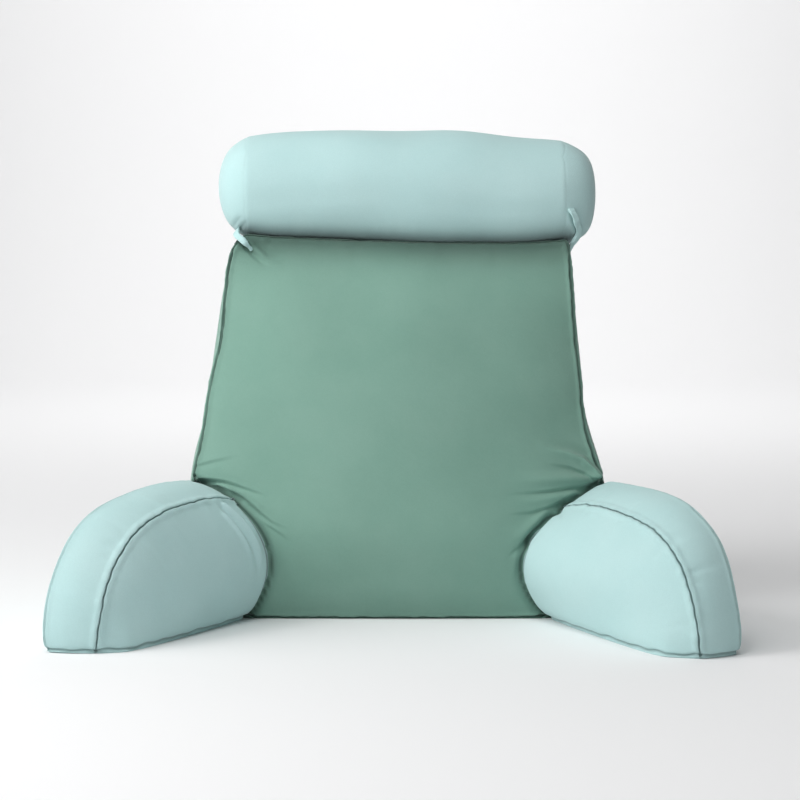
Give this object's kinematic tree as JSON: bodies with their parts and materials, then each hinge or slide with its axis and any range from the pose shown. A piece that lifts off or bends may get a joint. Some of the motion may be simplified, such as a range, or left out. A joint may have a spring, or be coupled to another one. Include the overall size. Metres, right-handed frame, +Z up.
{
  "type": "reading pillow with arms and neck roll",
  "caption": "Filled wedge backrest with two boxed D-shaped arms and a round neck roll tied on its top edge, for sitting up in bed or on a floor.",
  "frame": {"origin": "on the surface that the pillow stands on, under the middle of its outline", "axes": "+X across the pillow to the right as seen from its front, -Y the way its front and arms face, +Z up"},
  "size_m": [0.8594, 0.5662, 0.6405],
  "materials": {
    "green_cloth": "matt washed cotton, grey green",
    "aqua_cloth": "matt washed cotton, pale aqua"
  },
  "bodies": {
    "root": {"back_cushion": "green_cloth", "arm_left": "aqua_cloth", "arm_right": "aqua_cloth", "neck_roll": "aqua_cloth", "roll_tab_left": "aqua_cloth", "roll_tab_right": "aqua_cloth"}
  },
  "joints": []
}
